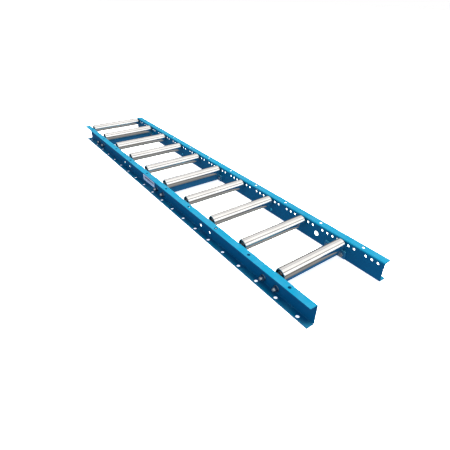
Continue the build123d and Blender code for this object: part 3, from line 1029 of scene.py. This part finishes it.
def blue_paint(name, deep, bright, roughness, wear_amount, dust_amount):
    """deep to bright follows the coat's thickness, with a pale painted highlight in chipped patches on edges, and
    dust on what faces up.
    """
    finish, tree, shader = new_finish(name, Specular_IOR_Level=PAINT_SHEEN)
    coat = place_group(tree, skin, Dimple_Size=0.0016, Cloud_Size=0.09)
    worn = place_group(tree, wear, Amount=wear_amount, Chip_Size=0.0025)["Mask"]
    dusty = place_group(tree, dust, Amount=dust_amount, Patch_Size=0.035)["Mask"]
    colour = mixed(tree, coat["Cloud"], deep, bright)
    # Painted highlight: the pale cyan goes on edges, in patches shaped like chips.
    colour = mixed(tree, worn, colour, PAINTED_EDGE_HIGHLIGHT)
    feed(tree, shader["Base Color"], mixed(tree, dusty, colour, DUST))
    rough = share_between(tree, coat["Cloud"], roughness - 0.03, roughness + 0.03)
    rough = sum_of(tree, "MULTIPLY_ADD", dusty, 0.5, rough)
    feed(tree, shader["Roughness"], sum_of(tree, "MULTIPLY_ADD", worn, 0.2, rough, clamp=True))
    feed(tree, shader["Normal"], bumped(tree, coat["Height"], SKIN_DEPTH))
    return finish


rail_paint = blue_paint(
    "rail_azure_powder_coat", (0.0010, 0.106, 0.185), (0.0015, 0.117, 0.200),
    roughness=0.38, wear_amount=0.22, dust_amount=0.05,
)
# Painted light: this coat is paler than the rails' to offset the shade the tubes cast on the cross-members.
member_paint = blue_paint(
    "cross_member_coat_lit_against_shade", (0.024, 0.170, 0.255), (0.030, 0.188, 0.280),
    roughness=0.42, wear_amount=0.3, dust_amount=0.10,
)
print("paints:", rail_paint.name, member_paint.name)

# %% [markdown]
# Zinc, polished steel and black oxide differ in colour and roughness, but each is drawn, bloomed and worn in the
# same ways, so one recipe makes them all. The tubes are the brightest, and their die lines show as fine streaks
# along each roller. The cups are blackened steel with a film of grease, which is why the tubes' ends look dark.
# The nuts are a dark blue, which is painted shade and a painted reflection of the blue rails, so each bolt's
# bright end stands out in its nut.

# %% Metal finishes
def metal(name, dark, light, worn_tone, rough_range, streak, patch, wear_amount):
    """dark to light follows the bloom, in patches of that size, and worn_tone shows on edges. streak holds the
    drawn lines' width, their depth, and the share by which they darken."""
    line_width, line_depth, line_share = streak
    finish, tree, shader = new_finish(name, Metallic=1.0)
    plating = place_group(tree, bloom, Patch_Size=patch, Speck_Size=0.0009)
    streaks = place_group(tree, drawn, Line_Width=line_width)["Lines"]
    worn = place_group(tree, wear, Amount=wear_amount, Chip_Size=0.0015)["Mask"]
    colour = mixed(tree, plating["Tone"], dark, light)
    colour = mixed(tree, sum_of(tree, "MULTIPLY", streaks, line_share), colour, tuple(0.55 * c for c in dark))
    colour = mixed(tree, sum_of(tree, "MULTIPLY", plating["Specks"], 0.15), colour, dark)
    feed(tree, shader["Base Color"], mixed(tree, worn, colour, worn_tone))
    rough = share_between(tree, streaks, *rough_range)
    rough = sum_of(tree, "MULTIPLY_ADD", plating["Tone"], 0.05, rough)
    feed(tree, shader["Roughness"], sum_of(tree, "MULTIPLY_ADD", plating["Specks"], 0.06, rough, clamp=True))
    feed(tree, shader["Normal"], bumped(tree, streaks, line_depth))
    return finish


tube_zinc = metal(
    "drawn_zinc_tube", (0.84, 0.84, 0.83), (0.92, 0.92, 0.91), (0.95, 0.95, 0.94),
    rough_range=(0.07, 0.13), streak=(0.0007, 0.000002, 0.16), patch=0.05, wear_amount=0.3,
)
axle_zinc = metal(
    "drawn_zinc_axle", (0.50, 0.51, 0.52), (0.64, 0.65, 0.66), (0.80, 0.80, 0.80),
    rough_range=(0.26, 0.40), streak=(0.0003, 0.000008, 0.25), patch=0.01, wear_amount=0.5,
)
cone_steel = metal(
    "oiled_cone_steel", (0.16, 0.16, 0.17), (0.26, 0.26, 0.27), (0.50, 0.50, 0.50),
    rough_range=(0.30, 0.42), streak=(0.0004, 0.000004, 0.15), patch=0.008, wear_amount=0.5,
)
cup_steel = metal(
    "greased_black_cup", (0.012, 0.012, 0.013), (0.028, 0.028, 0.030), (0.10, 0.10, 0.10),
    rough_range=(0.30, 0.45), streak=(0.0006, 0.000004, 0.10), patch=0.006, wear_amount=0.3,
)
ball_steel = metal(
    "polished_ball_steel", (0.60, 0.60, 0.61), (0.74, 0.74, 0.75), (0.85, 0.85, 0.85),
    rough_range=(0.06, 0.12), streak=(0.0004, 0.000001, 0.05), patch=0.003, wear_amount=0.2,
)
spring_steel = metal(
    "oiled_spring_wire", (0.09, 0.09, 0.10), (0.17, 0.17, 0.18), (0.35, 0.35, 0.36),
    rough_range=(0.28, 0.42), streak=(0.0002, 0.000003, 0.20), patch=0.006, wear_amount=0.2,
)
fastener_zinc = metal(
    "bright_zinc_fastener", (0.55, 0.60, 0.65), (0.68, 0.73, 0.78), (0.88, 0.90, 0.91),
    rough_range=(0.22, 0.34), streak=(0.0005, 0.000004, 0.12), patch=0.006, wear_amount=0.6,
)
# Painted shade and reflection: the nuts' dark blue stands in for their shadow on the web and the blue rail they
# mirror.
nut_metal_with_painted_shade = metal(
    "nut_dark_blue_painted_shade", (0.10, 0.20, 0.30), (0.15, 0.26, 0.37), (0.28, 0.38, 0.46),
    rough_range=(0.36, 0.48), streak=(0.0005, 0.000004, 0.12), patch=0.006, wear_amount=0.25,
)
print("eight metal finishes")

# %% [markdown]
# The label is printed vinyl. Its layout is only blocks and bars: a brownish panel along the top, with darker
# bars on it where a real one has its writing, and a thin line on the pale strip below. Each is a mask that is 1
# inside a rectangle on the label's face.

# %% Label print
bar, at, out = new_group(
    "printed_bar", [("Centre X", 0.0), ("Centre Z", 0.0), ("Width", 0.01), ("Height", 0.002)], ["Mask"]
)
spot = add_node(bar, "ShaderNodeSeparateXYZ")
feed(bar, spot.inputs[0], add_node(bar, "ShaderNodeTexCoord").outputs["Object"])
sides = []
for axis, centre, size in (("X", "Centre X", "Width"), ("Z", "Centre Z", "Height")):
    away = sum_of(bar, "ABSOLUTE", sum_of(bar, "SUBTRACT", spot.outputs[axis], at[centre]))
    sides.append(sum_of(bar, "LESS_THAN", away, sum_of(bar, "MULTIPLY", at[size], 0.5)))
feed(bar, out["Mask"], sum_of(bar, "MULTIPLY", *sides))

label_vinyl, tree, shader = new_finish("printed_label_vinyl", Coat_Weight=0.3, Coat_Roughness=0.15)
plastic = place_group(tree, skin, Dimple_Size=0.0022, Cloud_Size=0.02)
colour = mixed(tree, plastic["Cloud"], (0.97, 0.93, 0.84), (0.98, 0.96, 0.88))
label_x, label_z = (label_low.x + label_high.x) / 2, (label_low.z + label_high.z) / 2
PRINT = [                    # from the label's middle: x, z, width, height, colour
    (0.004, 0.0028, 0.078, 0.0090, (0.34, 0.28, 0.26)),
    (-0.030, 0.0028, 0.010, 0.0070, (0.12, 0.12, 0.14)),
    (-0.008, 0.0050, 0.026, 0.0018, (0.16, 0.15, 0.16)),
    (-0.006, 0.0014, 0.030, 0.0014, (0.18, 0.17, 0.18)),
    (0.026, 0.0028, 0.020, 0.0050, (0.46, 0.42, 0.40)),
    (0.004, -0.0062, 0.060, 0.0010, (0.52, 0.53, 0.55)),
]
for x, z, width, height, ink in PRINT:
    block = place_group(tree, bar, Centre_X=label_x + x, Centre_Z=label_z + z, Width=width, Height=height)
    colour = mixed(tree, block["Mask"], colour, ink)
feed(tree, shader["Base Color"], colour)
feed(tree, shader["Roughness"], share_between(tree, plastic["Cloud"], 0.36, 0.44))
feed(tree, shader["Normal"], bumped(tree, plastic["Height"], 0.00001))
print("label with", len(PRINT), "printed blocks")

# %% [markdown]
# Last, every piece takes its finish and stands for its CAD parts. Fixed pieces ride on the frame, tubes and cups
# on their roller, balls on their cage's own orbit, and axles on their sliding bodies. The springs stay on the
# frame at their rest length, each with a mesh of its own.

# %% Finish and place every piece
stand_for(front_rail, "frame", rail_paint, "rail_paint", "front_rail")
stand_for(rear_rail, "frame", rail_paint, "rail_paint", "rear_rail")
stand_for(label_sticker, "frame", label_vinyl, "label_face", "rail_label")
for place, member in members.items():
    stand_for(member, "frame", member_paint, "cross_member_paint", f"{place}_cross_member")
    stand_for(welds[place], "frame", member_paint, "cross_member_paint")
stand_for(bolt_set, "frame", fastener_zinc, "zinc_fastener", "cross_member_bolts")
stand_for(nut_set, "frame", nut_metal_with_painted_shade, "zinc_fastener", "cross_member_nuts")
stand_for(cones, "frame", cone_steel, "bearing_cone_steel", "bearing_cones")

for number, roller in enumerate(rollers):
    stand_for(tubes[number], f"roller_{roller}", tube_zinc, "tube_zinc", f"roller_{roller}_tube")
    stand_for(cups[number], f"roller_{roller}", cup_steel, "bearing_cup_steel", f"roller_{roller}_bearing_cups")
    stand_for(balls[number], f"ball_set_{roller}", ball_steel, "ball_steel", f"roller_{roller}_bearing_balls")
    stand_for(axles[number], f"axle_{roller}", axle_zinc, "axle_zinc", f"roller_{roller}_axle")
    stand_for(springs[number], "frame", spring_steel, "spring_steel", f"roller_{roller}_axle_spring")
    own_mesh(springs[number])
